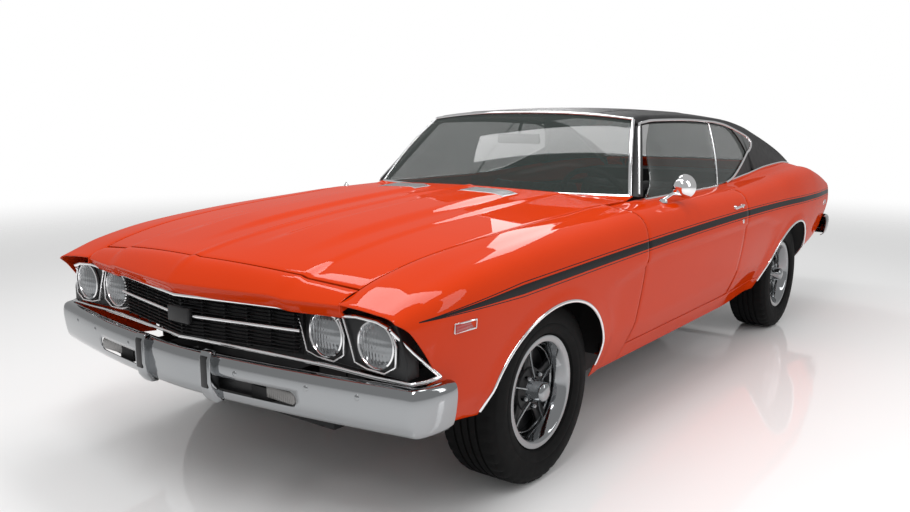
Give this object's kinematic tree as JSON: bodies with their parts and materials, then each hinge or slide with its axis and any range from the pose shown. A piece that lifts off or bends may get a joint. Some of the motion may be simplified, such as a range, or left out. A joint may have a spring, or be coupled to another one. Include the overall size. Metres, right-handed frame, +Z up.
{
  "type": "two-door hardtop muscle car",
  "caption": "Full-size two-door hardtop coupe with hinged doors, hood and deck lid, steered front wheels and free-turning wheels.",
  "frame": {"origin": "on the ground, under the middle of the car's length and width", "axes": "+Z up, the car faces -Y, +X is the car's left side"},
  "size_m": [1.908, 5, 1.3429],
  "materials": {
    "paint": "gloss orange-red paint",
    "vinyl": "grained black vinyl",
    "chrome": "polished",
    "wheel_metal": "polished with dark painted pockets",
    "tyre_rubber": "black rubber",
    "glass": "green-grey tint",
    "lamp_glass": "fluted lens",
    "lamp_red": "red lens",
    "black_trim": "satin black",
    "chassis": "black chassis paint",
    "engine_paint": "satin paint",
    "exhaust_steel": "plain steel",
    "upholstery": "black vinyl with pleats",
    "cabin_plastic": "black, grained"
  },
  "bodies": {
    "body": {"cowl_panel": "paint", "rockers": "paint", "fender_left": "paint", "fender_right": "paint", "header_panel": "paint", "quarter_left": "paint", "quarter_right": "paint", "deck_filler": "paint", "roof": "vinyl", "rear_pillars": "vinyl", "windshield_pillars": "vinyl", "front_bumper": "chrome", "rear_bumper": "chrome", "windshield": "glass", "rear_window": "glass", "quarter_glass": "glass", "front_lamps": "lamp_glass", "tail_lamps": "lamp_red", "grille": "black_trim", "lamp_bezels": "black_trim", "tail_panel": "black_trim", "frame": "chassis", "suspension": "chassis", "rear_axle": "chassis", "drive_shaft": "chassis", "hinge_pins": "chassis", "floor_pan": "chassis", "wheelhouses": "chassis", "radiator": "chassis", "engine": "engine_paint", "exhaust": "exhaust_steel", "fuel_tank": "exhaust_steel", "front_seat": "upholstery", "rear_seat": "upholstery", "dashboard": "cabin_plastic", "steering_column": "cabin_plastic"},
    "knuckle_left": {"knuckle_left": "chassis"},
    "knuckle_right": {"knuckle_right": "chassis"},
    "wheel_front_left": {"wheel_fl": "wheel_metal", "tyre_fl": "tyre_rubber"},
    "wheel_front_right": {"wheel_fr": "wheel_metal", "tyre_fr": "tyre_rubber"},
    "wheel_rear_left": {"wheel_rl": "wheel_metal", "tyre_rl": "tyre_rubber"},
    "wheel_rear_right": {"wheel_rr": "wheel_metal", "tyre_rr": "tyre_rubber"},
    "door_left": {"door_left": "paint", "door_glass_left": "glass", "door_mirror": "chrome"},
    "door_right": {"door_right": "paint", "door_glass_right": "glass"},
    "hood": {"hood": "paint"},
    "deck_lid": {"deck_lid": "paint"},
    "steering_wheel": {"steering_wheel": "cabin_plastic"}
  },
  "joints": [
    {"name": "steer_left", "type": "hinge", "parent": "body", "child": "knuckle_left", "pos_m": [0.6915, -1.578, 0.3315], "axis": [0, 0, 1], "range_deg": [-33, 33]},
    {"name": "steer_right", "type": "hinge", "parent": "body", "child": "knuckle_right", "pos_m": [-0.6915, -1.578, 0.3315], "axis": [0, 0, 1], "range_deg": [-33, 33]},
    {"name": "steering_wheel_turn", "type": "hinge", "parent": "body", "child": "steering_wheel", "pos_m": [0.37, -0.3, 0.872], "axis": [0, 0.9135, 0.4067], "range_deg": [-541, 541]},
    {"name": "wheel_front_left_spin", "type": "hinge", "parent": "knuckle_left", "child": "wheel_front_left", "pos_m": [0.7495, -1.578, 0.3315], "axis": [1, 0, 0], "continuous": true},
    {"name": "wheel_front_right_spin", "type": "hinge", "parent": "knuckle_right", "child": "wheel_front_right", "pos_m": [-0.7495, -1.578, 0.3315], "axis": [1, 0, 0], "continuous": true},
    {"name": "wheel_rear_left_spin", "type": "hinge", "parent": "body", "child": "wheel_rear_left", "pos_m": [0.7495, 1.267, 0.3315], "axis": [1, 0, 0], "continuous": true},
    {"name": "wheel_rear_right_spin", "type": "hinge", "parent": "body", "child": "wheel_rear_right", "pos_m": [-0.7495, 1.267, 0.3315], "axis": [1, 0, 0], "continuous": true},
    {"name": "door_left_swing", "type": "hinge", "parent": "body", "child": "door_left", "pos_m": [0.905, -0.995, 0.6], "axis": [0, 0, -1], "range_deg": [0, 65]},
    {"name": "door_right_swing", "type": "hinge", "parent": "body", "child": "door_right", "pos_m": [-0.905, -0.995, 0.6], "axis": [0, 0, 1], "range_deg": [0, 65]},
    {"name": "hood_lift", "type": "hinge", "parent": "body", "child": "hood", "pos_m": [0, -0.76128, 0.915], "axis": [-1, 0, 0], "range_deg": [0, 50]},
    {"name": "deck_lift", "type": "hinge", "parent": "body", "child": "deck_lid", "pos_m": [0, 1.862, 0.97], "axis": [1, 0, 0], "range_deg": [0, 60]}
  ],
  "couplings": [
    {"joint": "steer_right", "follows": "steer_left", "ratio": 1},
    {"joint": "steering_wheel_turn", "follows": "steer_left", "ratio": 16.364}
  ]
}
